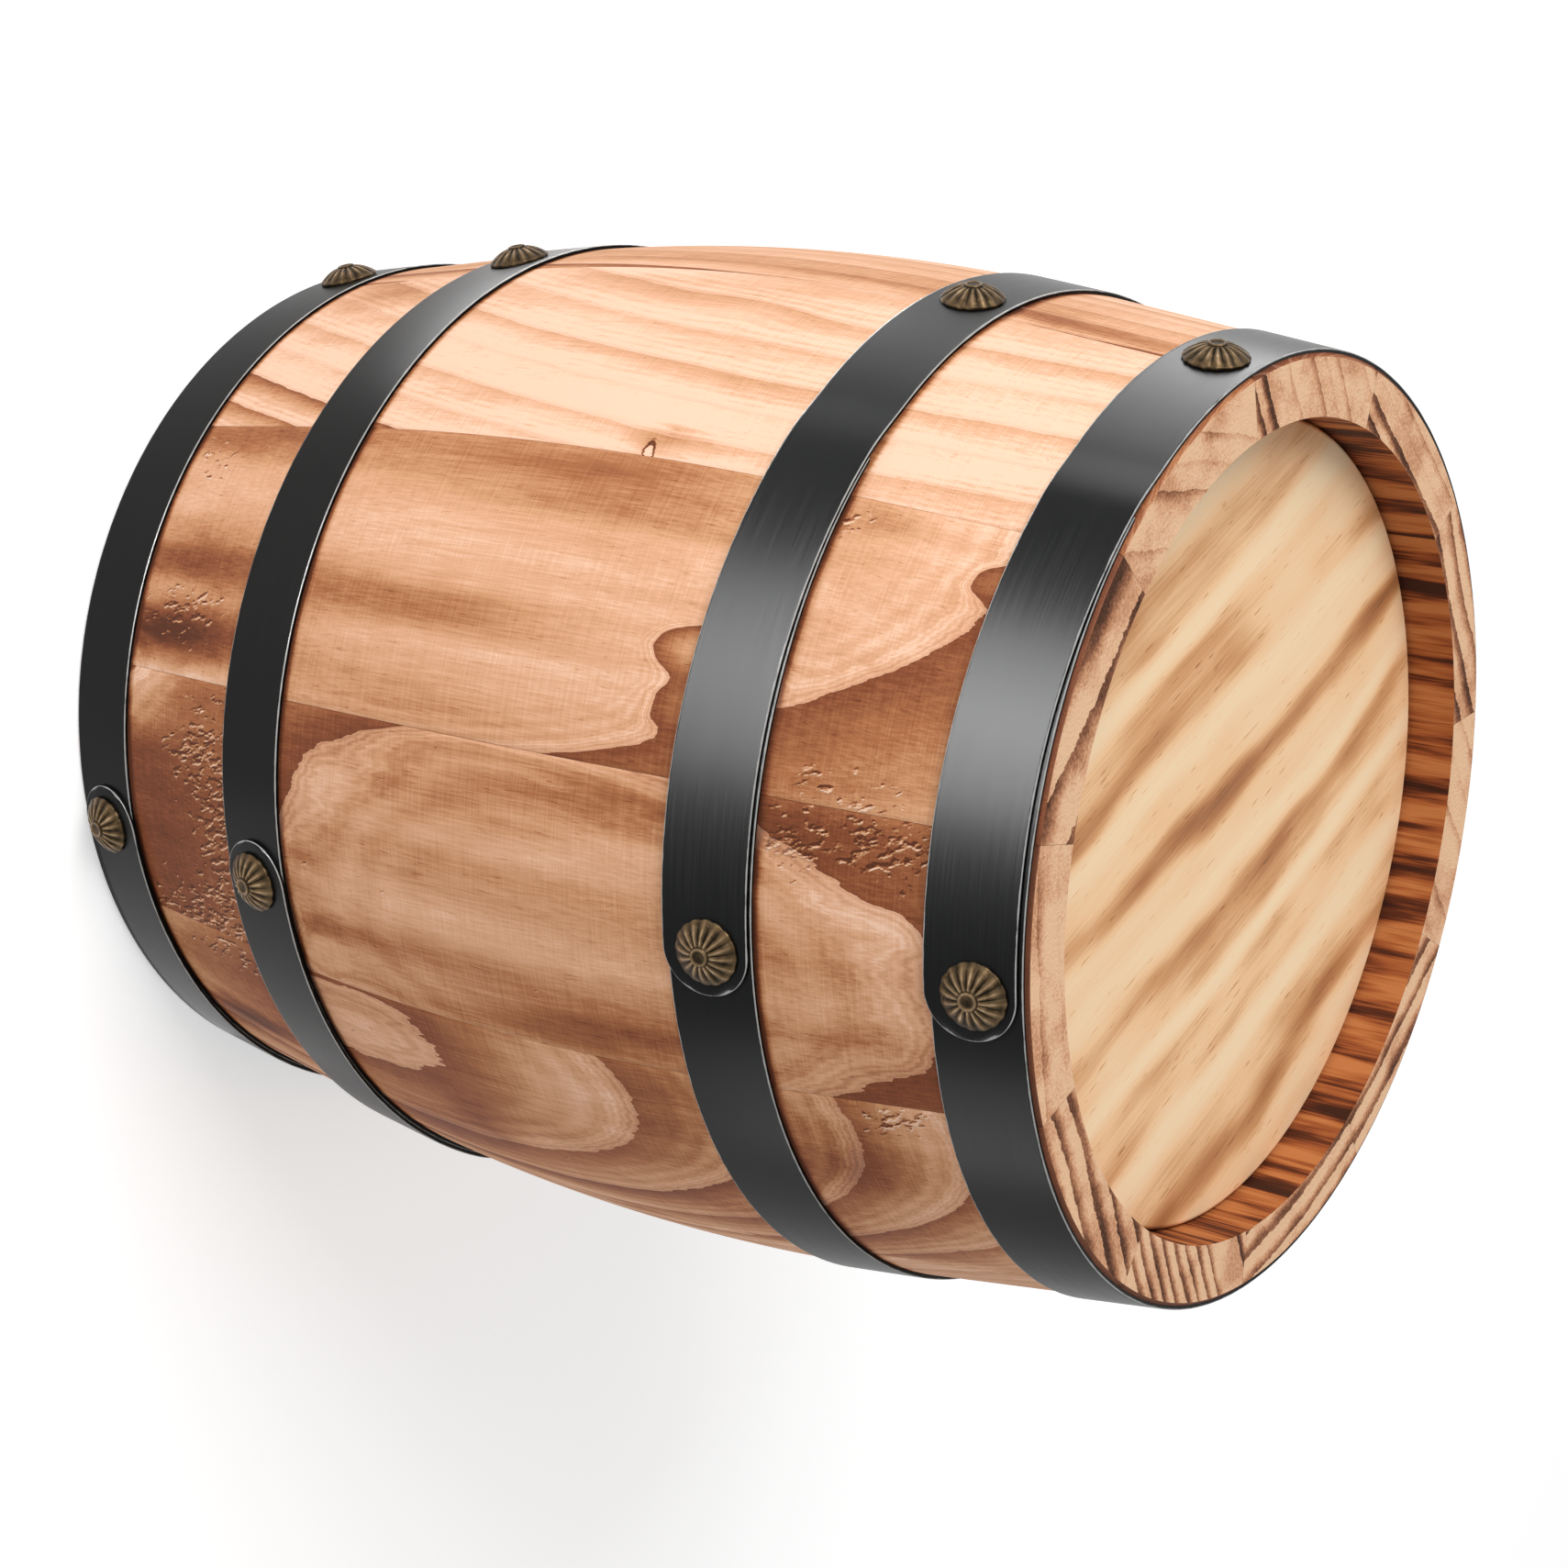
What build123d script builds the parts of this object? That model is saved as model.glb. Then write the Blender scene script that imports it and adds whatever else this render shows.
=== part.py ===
"""A small wooden keg: eleven bent staves, two heads, four nailed steel hoops.

The keg stands on one end, with its axis on Z and its base at z = 0. Lengths are millimetres.
Angles are degrees round the keg from -Y, where the top hoops are nailed, towards +X.
"""

import os
from math import asin, atan2, cos, degrees, hypot, radians, sin, sqrt, tan

from build123d import *

os.makedirs("parts", exist_ok=True)

# The keg as a whole
keg_height = 300.0
belly_diameter = 265.0
end_taper = 8.2
straight_end = 67.0

# Staves
stave_count = 11
stave_thickness = 20.0
first_joint = -16.8
joint_gap = 0.1

# Heads, let into a turned step at each end
chime_wall = 15.0
recess_depth = 12.5
head_thickness = 12.0
head_clearance = 0.5
head_round = 1.5

# Hoops of flat strap, each lapped over its own end
strap_width = 22.0
strap_thickness = 0.9
strap_clearance = 0.1
layer_gap = 0.1
chime_hoop_inset = 0.7
quarter_hoop_inset = 66.0
lap_angle = 54.0
ramp_angle = 8.0
top_nail_turn = 0.0
bottom_nail_turn = 5.0
chime_lap_shift = 1.2
quarter_lap_shift = 0.7

# Nails with a rosette head
nails_per_hoop = 4
top_nail_step = 92.0
bottom_nail_step = 90.0
nail_head_diameter = 16.0
nail_head_height = 4.2
nail_rim = 0.7
flute_count = 16
flute_radius = 0.8
flute_depth = 0.3
button_radius = 2.3
button_height = 0.5
button_hollow_radius = 1.5
button_hollow_depth = 0.4
shank_diameter = 2.0
shank_length = 13.0
shank_point = 3.0
shank_clearance = 0.1
tip_clearance = 0.5

# A cutting shape runs this far past what it cuts
overrun = 1.0

belly_radius = belly_diameter / 2
half_height = keg_height / 2
bend_half = half_height - straight_end
bend_radius = bend_half / sin(radians(end_taper))
bend_end_radius = belly_radius - bend_radius + bend_radius * cos(radians(end_taper))
end_radius = bend_end_radius - straight_end * tan(radians(end_taper))
bore_radius = end_radius - chime_wall
bore_depth = recess_depth + head_thickness
shank_hole_radius = shank_diameter / 2 + shank_clearance


def outside_radius(height):
    """Radius of the staves' outside: an arc at the belly, then a straight taper to each end."""
    reach = abs(height - half_height)
    if reach <= bend_half:
        return belly_radius - bend_radius + sqrt(bend_radius**2 - reach**2)
    return bend_end_radius - (reach - bend_half) * tan(radians(end_taper))


def outside_lean(height):
    """How far the outside's normal leans up at a height; it leans down in the lower half."""
    reach = height - half_height
    if abs(reach) <= bend_half:
        return degrees(asin(reach / bend_radius))
    return end_taper if reach > 0 else -end_taper


def directions(turn, height):
    """Unit vectors out of the staves' outside and round the keg."""
    lean = radians(outside_lean(height))
    across = radians(turn)
    out = Vector(sin(across) * cos(lean), -cos(across) * cos(lean), sin(lean))
    return out, Vector(cos(across), sin(across), 0)


def surface_plane(turn, height):
    """Plane that touches the outside: X goes round the keg, Y up the stave and Z outwards."""
    out, around = directions(turn, height)
    radius = outside_radius(height)
    foot = Vector(radius * sin(radians(turn)), -radius * cos(radians(turn)), height)
    return Plane(origin=foot, x_dir=around, z_dir=out)


def strap_plane(turn, height):
    """Plane across a strap: X points out of the staves' outside and Y up the stave."""
    out, around = directions(turn, height)
    return Plane(origin=surface_plane(turn, height).origin, x_dir=out, z_dir=-around)


def radial_plane(turn):
    """Plane through the axis: X points out from the axis and Y up."""
    across = radians(turn)
    return Plane(
        origin=(0, 0, 0),
        x_dir=(sin(across), -cos(across), 0),
        z_dir=(-cos(across), -sin(across), 0),
    )


def half_keg(inset):
    """Half section of the keg from its axis to the staves' outside, moved in by an inset."""
    low = straight_end
    high = keg_height - straight_end
    with BuildSketch() as half:
        with BuildLine():
            Polyline(
                (bend_end_radius - inset, low),
                (end_radius - inset, 0),
                (0, 0),
                (0, keg_height),
                (end_radius - inset, keg_height),
                (bend_end_radius - inset, high),
            )
            ThreePointArc(
                (bend_end_radius - inset, high),
                (belly_radius - inset, half_height),
                (bend_end_radius - inset, low),
            )
        make_face()
    return half.sketch


# Each hoop's middle height, the turns of its nails from the lap nail on, which way its outer end
# points and how far its lap stands off its own line. The keg is turned over to hoop its other end,
# so the bottom hoops run the other way round.
top_chime = keg_height - chime_hoop_inset - strap_width / 2
top_quarter = keg_height - quarter_hoop_inset - strap_width / 2
top_turns = [top_nail_turn + top_nail_step * number for number in range(nails_per_hoop)]
bottom_turns = [bottom_nail_turn + bottom_nail_step * number for number in range(nails_per_hoop)]
hoops = {
    "chime_hoop_top": (top_chime, top_turns, 1, -chime_lap_shift),
    "quarter_hoop_top": (top_quarter, top_turns, 1, -quarter_lap_shift),
    "quarter_hoop_bottom": (keg_height - top_quarter, bottom_turns, -1, quarter_lap_shift),
    "chime_hoop_bottom": (keg_height - top_chime, bottom_turns, -1, chime_lap_shift),
}

# Level of a nail head's seat over the staves, on the strap alone and on the lap.
strap_seat = strap_clearance + strap_thickness
lap_seat = strap_seat + layer_gap + strap_thickness
shank_holes = [
    surface_plane(turn, height).offset(overrun).location
    for height, turns, _, _ in hoops.values()
    for turn in turns
]
shank_hole_depth = shank_length + tip_clearance - strap_seat + overrun

# Staves: each is one turned sector with flat radial edges. Both ends are bored out for the heads,
# which leaves a ledge under each head, and the hoop nails go in from outside.
stave_pitch = 360 / stave_count
stave_gap_angle = degrees(joint_gap / belly_radius)
for number in range(stave_count):
    stave_start = first_joint + number * stave_pitch + stave_gap_angle / 2
    with BuildPart() as stave:
        with BuildSketch(radial_plane(stave_start)):
            add(half_keg(0))
            add(half_keg(stave_thickness), mode=Mode.SUBTRACT)
            with Locations((0, 0)):
                Rectangle(
                    bore_radius, bore_depth, align=(Align.MIN, Align.MIN), mode=Mode.SUBTRACT
                )
            with Locations((0, keg_height)):
                Rectangle(
                    bore_radius, bore_depth, align=(Align.MIN, Align.MAX), mode=Mode.SUBTRACT
                )
        revolve(axis=Axis.Z, revolution_arc=stave_pitch - stave_gap_angle)
        with Locations(*shank_holes):
            Cylinder(
                shank_hole_radius,
                shank_hole_depth,
                align=(Align.CENTER, Align.CENTER, Align.MAX),
                mode=Mode.SUBTRACT,
            )
    stave.part.label = f"stave_{number + 1:02d}"
    export_step(stave.part, f"parts/{stave.part.label}.step")

# Heads: round boards glued on the ledges, with both edges eased.
head_planes = {
    "head_top": Plane.XY.offset(keg_height - recess_depth - head_thickness),
    "head_bottom": Plane.XY.offset(recess_depth),
}
for head_name, head_plane in head_planes.items():
    with BuildPart() as head:
        with BuildSketch(head_plane):
            Circle(bore_radius - head_clearance)
        extrude(amount=head_thickness)
        fillet(head.edges().filter_by(GeomType.CIRCLE), head_round)
    head.part.label = head_name
    export_step(head.part, f"parts/{head_name}.step")

# Hoops: the strap starts flat on the staves, goes once round, climbs on its own start and ends in
# a half round past the first nail.
for hoop_name, (height, turns, way, lap_shift) in hoops.items():
    nail_turn = turns[0]
    lap_start = nail_turn - way * lap_angle
    ramp_start = lap_start - way * ramp_angle
    lap_round = way * degrees(strap_width / 2 / outside_radius(height))
    lap_tip = nail_turn + 2 * lap_round
    with BuildPart() as lap:
        with BuildSketch(strap_plane(min(lap_start, lap_tip), height)):
            with Locations((strap_seat + layer_gap, lap_shift)):
                Rectangle(strap_thickness, strap_width, align=(Align.MIN, Align.CENTER))
        revolve(axis=Axis.Z, revolution_arc=abs(lap_tip - lap_start))
        with BuildSketch(surface_plane(nail_turn, height)):
            with Locations((0, lap_shift)):
                Rectangle(
                    2 * strap_width,
                    strap_width + 2 * overrun,
                    align=(Align.MIN if way > 0 else Align.MAX, Align.CENTER),
                )
                Circle(strap_width / 2, mode=Mode.SUBTRACT)
        extrude(amount=lap_seat + overrun, both=True, mode=Mode.SUBTRACT)
    with BuildPart() as hoop:
        with BuildSketch(strap_plane(lap_start if way > 0 else ramp_start, height)):
            with Locations((strap_clearance, 0)):
                Rectangle(strap_thickness, strap_width, align=(Align.MIN, Align.CENTER))
        revolve(axis=Axis.Z, revolution_arc=360 - ramp_angle)
        with BuildSketch(strap_plane(ramp_start, height)):
            with Locations((strap_clearance, 0)):
                Rectangle(strap_thickness, strap_width, align=(Align.MIN, Align.CENTER))
        with BuildSketch(strap_plane(lap_start, height)):
            with Locations((strap_seat + layer_gap, lap_shift)):
                Rectangle(strap_thickness, strap_width, align=(Align.MIN, Align.CENTER))
        loft()
        add(lap.part)
        with Locations(*[surface_plane(turn, height).location for turn in turns]):
            Cylinder(shank_hole_radius, 2 * (lap_seat + overrun), mode=Mode.SUBTRACT)
    hoop.part.label = hoop_name
    export_step(hoop.part, f"parts/{hoop_name}.step")

# Nails: a fluted dome with a hollow button at its middle, on a round pointed shank. The head's flat
# underside is at z = 0 here, and each nail is then set on its strap.
nail_head_radius = nail_head_diameter / 2
shank_radius = shank_diameter / 2
dome_height = nail_head_height - button_height
flute_run = nail_head_radius - button_radius
flute_fall = dome_height - nail_rim
flute_lean = degrees(atan2(flute_fall, flute_run))
with BuildPart() as nail:
    with BuildSketch(Plane.XZ):
        with BuildLine():
            TangentArc((0, dome_height), (nail_head_radius, nail_rim), tangent=(1, 0))
            Polyline(
                (nail_head_radius, nail_rim),
                (nail_head_radius, 0),
                (shank_radius, 0),
                (shank_radius, shank_point - shank_length),
                (0, -shank_length),
                (0, dome_height),
            )
        make_face()
    revolve(axis=Axis.Z)
    with PolarLocations(button_radius, flute_count):
        with Locations((0, 0, dome_height + flute_radius - flute_depth)):
            Cylinder(
                flute_radius,
                hypot(flute_run, flute_fall) + overrun,
                rotation=(0, 90 + flute_lean, 0),
                align=(Align.CENTER, Align.CENTER, Align.MIN),
                mode=Mode.SUBTRACT,
            )
    with Locations((0, 0, nail_head_height)):
        Cylinder(
            button_radius, flute_fall + button_height, align=(Align.CENTER, Align.CENTER, Align.MAX)
        )
        Hole(button_hollow_radius, button_hollow_depth)

for hoop_name, (height, turns, _, _) in hoops.items():
    for number, turn in enumerate(turns):
        seat = lap_seat if number == 0 else strap_seat
        set_nail = nail.part.moved(surface_plane(turn, height).offset(seat).location)
        set_nail.label = f"{hoop_name.replace('hoop', 'nail')}_{number + 1}"
        export_step(set_nail, f"parts/{set_nail.label}.step")
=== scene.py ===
from math import asin, atan2, ceil, cos, exp, hypot, pi, radians, sin, sqrt, tan

import bpy
import numpy as np
from mathutils import Matrix, Vector, noise


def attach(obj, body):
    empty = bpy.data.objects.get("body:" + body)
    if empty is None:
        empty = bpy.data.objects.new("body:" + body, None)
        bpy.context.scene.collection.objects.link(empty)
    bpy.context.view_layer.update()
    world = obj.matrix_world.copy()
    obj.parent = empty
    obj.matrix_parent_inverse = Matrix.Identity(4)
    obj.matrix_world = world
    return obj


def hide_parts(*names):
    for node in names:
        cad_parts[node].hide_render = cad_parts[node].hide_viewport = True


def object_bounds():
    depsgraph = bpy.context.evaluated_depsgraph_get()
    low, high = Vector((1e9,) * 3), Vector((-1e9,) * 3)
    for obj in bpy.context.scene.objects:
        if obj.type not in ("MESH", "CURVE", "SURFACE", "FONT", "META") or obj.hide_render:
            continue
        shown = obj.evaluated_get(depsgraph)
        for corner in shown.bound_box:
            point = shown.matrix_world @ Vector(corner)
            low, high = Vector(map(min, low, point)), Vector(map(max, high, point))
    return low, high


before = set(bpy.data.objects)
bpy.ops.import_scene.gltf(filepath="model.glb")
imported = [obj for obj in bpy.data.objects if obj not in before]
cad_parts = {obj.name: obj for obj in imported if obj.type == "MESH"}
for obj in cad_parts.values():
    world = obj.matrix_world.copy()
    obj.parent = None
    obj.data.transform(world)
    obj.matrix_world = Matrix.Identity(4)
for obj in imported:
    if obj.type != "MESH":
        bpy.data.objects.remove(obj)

scene = bpy.context.scene
cad_low, cad_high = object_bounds()

# Camera
# The photo looks down on the keg's near side and upper end. Its picture is turned a little more
# than a quarter turn, so that the standing keg lies on its side in it.
camera_turn = radians(-23.403)
camera_rise = radians(34.521)
camera_roll = radians(-101.238)
camera_distance = 0.80583
camera_aim = Vector((0.01079, -0.00308, 0.15198))
picture_pixels = 1709
focal_pixels = 3220.5

camera = bpy.data.objects.new("camera", bpy.data.cameras.new("camera"))
camera.data.lens = focal_pixels / picture_pixels * camera.data.sensor_width
camera_back = Vector(
    (sin(camera_turn) * cos(camera_rise), -cos(camera_turn) * cos(camera_rise), sin(camera_rise))
)
level_up = (Vector((0, 0, 1)) - camera_back * camera_back.z).normalized()
level_right = level_up.cross(camera_back)
camera_up = level_up * cos(camera_roll) + level_right * sin(camera_roll)
camera.matrix_world = Matrix.Translation(camera_aim + camera_back * camera_distance) @ Matrix(
    (camera_up.cross(camera_back), camera_up, camera_back)
).transposed().to_4x4()
scene.collection.objects.link(camera)
scene.camera = camera

# Staves
# Eleven staves of softwood, sawn with their rings nearly level with the outside, shaped, glued edge
# to edge and turned. The finished keg was torched and brushed, which leaves the soft wood pale and
# the hard late wood of each ring brown, with a sharp toothed edge on the ring's outer side.
keg_height = cad_high.z
belly_radius = 0.1325
end_taper = radians(8.2)
straight_end = 0.067
stave_thickness = 0.020
stave_count = 11
first_joint = radians(-16.8)
joint_gap = 0.0001
chime_wall = 0.015
recess_depth = 0.0125
head_thickness = 0.012
arris = 0.0008
strap_width = 0.022
chime_hoop_inset = 0.0007
quarter_hoop_inset = 0.066
joint_depth = 0.00018
joint_reach = 0.00045
# The meshes' grids, the columns beside a stave's edges, and the angle that is shaded as an edge.
plain_grid = 0.0020
fine_grid = 0.0010
inner_grid = 0.0080
edge_steps = [0, 0.00025, 0.0006]
edge_zone = 0.001
sharp_angle = radians(40)
tolerance = 1e-6
# The wood's figure is worked out in millimetres.
mm = 1000
# The ring spacing that the teeth are made for, and how much deeper they are on the ends.
usual_spacing = 5.5
end_waviness = 1.8
# A board's uneven tone and the wandering outline of its marks are slow noises, as (amount, reach
# across, reach along).
tone_noises = ((0.13, 14, 90), (0.1, 4.5, 60))
wander_noise = (1.4, 4, 9)
# The painted shadow of a hoop on the wood beside it, with a little brown stain, as (1 over it or
# -1 under it, amount, reach), and how far it goes in under the hoop.
hoop_shadow_stains = ((1, 0.75, 1.1), (-1, 0.12, 0.8))
hoop_shadow_inset = 1.5
# Most of a noise texture's values lie between these.
noise_span = (0.3, 0.7)

half_height = keg_height / 2
half_width = strap_width / 2
top_chime = keg_height - chime_hoop_inset - half_width
top_quarter = keg_height - quarter_hoop_inset - half_width
hoop_heights = [top_chime, top_quarter, keg_height - top_quarter, keg_height - top_chime]
bend_half = half_height - straight_end
bend_radius = bend_half / sin(end_taper)
bend_end_radius = belly_radius - bend_radius * (1 - cos(end_taper))
end_radius = bend_end_radius - straight_end * tan(end_taper)
bore_radius = end_radius - chime_wall
bore_depth = recess_depth + head_thickness
stave_pitch = 2 * pi / stave_count


def outside_radius(height):
    """Radius of the staves' outside: an arc at the belly, then a straight taper to each end."""
    reach = abs(height - half_height)
    if reach <= bend_half:
        return belly_radius - bend_radius + sqrt(bend_radius**2 - reach**2)
    return bend_end_radius - (reach - bend_half) * tan(end_taper)


def outside_lean(height):
    """How far the outside's normal leans up at a height; it leans down in the lower half."""
    reach = height - half_height
    if abs(reach) <= bend_half:
        return asin(reach / bend_radius)
    return end_taper if reach > 0 else -end_taper


def stave_middle(number):
    """Turn in radians of a stave's middle round the keg."""
    return first_joint + (number - 0.5) * stave_pitch


def from_middle(number, turn):
    """Turn in radians from a stave's middle of a place given in degrees round the keg."""
    return (radians(turn) - stave_middle(number) + pi) % (2 * pi) - pi


def steps(start, end, grid):
    """Evenly spaced values from start up to but not with end, about a grid size apart."""
    count = max(1, ceil(abs(end - start) / grid - tolerance))
    return [start + (end - start) * number / count for number in range(count)]


def stave_section(grid):
    """Closed outline of a stave as (radius, height, zone); the zone is that of the next face."""
    top_ledge = keg_height - bore_depth
    ledge_radius = outside_radius(top_ledge) - stave_thickness
    heights = steps(arris, keg_height - arris, grid) + [keg_height - arris]
    rows = [(end_radius - arris, 0, "face")]
    rows += [(outside_radius(z), z, "face") for z in heights]
    rows += [(r, keg_height, "end") for r in steps(end_radius - arris, bore_radius, grid)]
    rows += [(bore_radius, z, "bore") for z in steps(keg_height, top_ledge, grid)]
    rows += [(r, top_ledge, "end") for r in steps(bore_radius, ledge_radius, grid)]
    rows += [
        (outside_radius(z) - stave_thickness, z, "face")
        for z in steps(top_ledge, bore_depth, inner_grid)
    ]
    rows += [(r, bore_depth, "end") for r in steps(ledge_radius, bore_radius, grid)]
    rows += [(bore_radius, z, "bore") for z in steps(bore_depth, 0, grid)]
    rows += [(r, 0, "end") for r in steps(bore_radius, end_radius - arris, grid)]
    return rows


def grain_noise(board, across, along):
    """Smooth noise of about -1 to 1 over a board in mm, drawn out along its grain."""
    spots = (board / (across, across, along)).reshape(-1, 3).tolist()
    return np.array([noise.noise(spot) for spot in spots]).reshape(board.shape[:-1])


def linear(hex_colour):
    """Linear colour, with alpha, of an sRGB hex value."""
    channels = [int(hex_colour[place : place + 2], 16) / 255 for place in (1, 3, 5)]
    return [c / 12.92 if c <= 0.04045 else ((c + 0.055) / 1.055) ** 2.4 for c in channels] + [1]


def add_node(tree, kind, inputs=(), stops=(), **settings):
    """Add a node with its settings and links; a shader node's kind goes without "ShaderNode".
    Inputs go in order, or by name or number from a dict, and a node among them stands for its first
    output. Stops are a ramp's (place, hex colour)."""
    node = tree.nodes.new(kind if "Node" in kind else "ShaderNode" + kind)
    for name, value in settings.items():
        setattr(node, name, value)
    for number, (place, hex_colour) in enumerate(stops):
        if number > 1:
            node.color_ramp.elements.new(1.0)
        element = node.color_ramp.elements[number]
        element.position, element.color = place, linear(hex_colour)
    for key, value in inputs.items() if isinstance(inputs, dict) else enumerate(inputs):
        if isinstance(value, bpy.types.Node):
            value = value.outputs[0]
        if isinstance(value, bpy.types.NodeSocket):
            tree.links.new(value, node.inputs[key])
        else:
            node.inputs[key].default_value = value
    return node


def new_material(name, surface):
    """A material whose shader's inputs come from a function that adds nodes to its tree."""
    material = bpy.data.materials.new(name)
    material.use_nodes = True
    tree = material.node_tree
    tree.nodes.clear()
    shader = add_node(tree, "BsdfPrincipled", surface(tree))
    add_node(tree, "OutputMaterial", {"Surface": shader})
    return material


def set_values(mesh, name, values, kind="FLOAT"):
    """Keep a number, or a vector, for each of a mesh's points as an attribute."""
    field = "value" if kind == "FLOAT" else "vector"
    mesh.attributes.new(name, kind, "POINT").data.foreach_set(field, np.array(values).ravel())


# How dark the late wood is, from 0 for a pale ring to 1, in runs of eight rings: plain boards with
# one strong ring, boards with strong rings only, and quiet boards.
ring_strengths = [0.8, 0.7, 0.9, 0.85, 0.8, 1.0, 0.12, 0.1]
ring_strengths += [0.7, 0.9, 0.75, 1.0, 0.8, 0.95, 0.85, 1.0]
ring_strengths += [0.22, 0.36, 0.16, 0.44, 0.26, 0.4, 0.2, 0.34]


def growth_rings():
    """Node group for the softwood's figure. A ring starts with pale early wood and darkens to its
    late wood, which ends at a sharp toothed edge; the teeth follow the grain."""
    group = bpy.data.node_groups.new("growth_rings", "ShaderNodeTree")
    for name in ("Late wood", "Past edge", "Fibre", "Cross marks"):
        group.interface.new_socket(name, in_out="OUTPUT", socket_type="NodeSocketFloat")
    rings, narrow, board = [
        add_node(group, "Attribute", attribute_name=name).outputs[kind]
        for name, kind in (("rings", "Fac"), ("narrow", "Fac"), ("board", "Vector"))
    ]
    # Three sizes of teeth in mm: bays 20 wide, steps 2.5 wide and splinters 0.8 wide. They are as
    # deep on wide rings as on narrow ones.
    count = rings
    for scale, reach in (
        ((0.05, 0.05, 0.018), 0.22),
        ((0.40, 0.40, 0.04), 0.13),
        ((1.3, 1.3, 0.14), 0.045),
    ):
        place = add_node(group, "VectorMath", (board, scale), operation="MULTIPLY")
        wave = add_node(group, "TexNoise", {"Vector": place, "Scale": 1.0, "Detail": 2.0})
        middle = add_node(group, "Math", (wave, 0.5), operation="SUBTRACT")
        middle = add_node(group, "Math", (middle, narrow), operation="MULTIPLY")
        count = add_node(group, "Math", (middle, reach, count), operation="MULTIPLY_ADD")
    share = add_node(group, "Math", (count,), operation="FRACT")
    ring = add_node(group, "Math", (count,), operation="FLOOR")
    cycle = add_node(group, "Math", (ring, len(ring_strengths)), operation="DIVIDE")
    cycle = add_node(group, "Math", (cycle,), operation="FRACT")
    strength = add_node(group, "ValToRGB", (cycle,))
    strength.color_ramp.interpolation = "CONSTANT"
    for number, value in enumerate(ring_strengths):
        if number > 1:
            strength.color_ramp.elements.new(1.0)
        element = strength.color_ramp.elements[number]
        # Each stop stands a little before its ring, so that no ring misses its own.
        element.position = max(0, (number - 0.3) / len(ring_strengths))
        element.color = (value, value, value, 1)
    late = add_node(group, "Math", (share, 1.7), operation="POWER")
    late = add_node(group, "Math", (late, strength), operation="MULTIPLY")
    past = add_node(group, "Math", (share, narrow), operation="DIVIDE")
    # Fibres 0.6 mm wide along the grain, and turning marks 0.5 mm apart round the keg.
    streaks = []
    for scale, roughness in (((1.7, 1.7, 0.06), 0.65), ((0.07, 0.07, 2.0), 0.7)):
        place = add_node(group, "VectorMath", (board, scale), operation="MULTIPLY")
        inputs = {"Vector": place, "Scale": 1.0, "Detail": 3.0, "Roughness": roughness}
        streaks.append(add_node(group, "TexNoise", inputs))
    add_node(group, "NodeGroupOutput", (late, past, *streaks))
    return group


rings_group = growth_rings()
# Torn chips slant over the grain, and this way lies each one's side with a painted highlight.
chip_slant = radians(20)
chip_highlight_side = (0.3, 0.0, -0.03)
# The one knot: its stave, turn in degrees and height in mm, and how it slants and is drawn out.
knot_stave = 10
knot_turn = -50.1
knot_height = 177.8
knot_slant = radians(10)
knot_measure = (0.4, 0.0, 0.85)
knot_place = (
    belly_radius * mm * sin(from_middle(knot_stave, knot_turn)),
    belly_radius * mm * (cos(from_middle(knot_stave, knot_turn)) - 1),
    knot_height - half_height * mm + knot_stave * mm,
)


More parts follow.
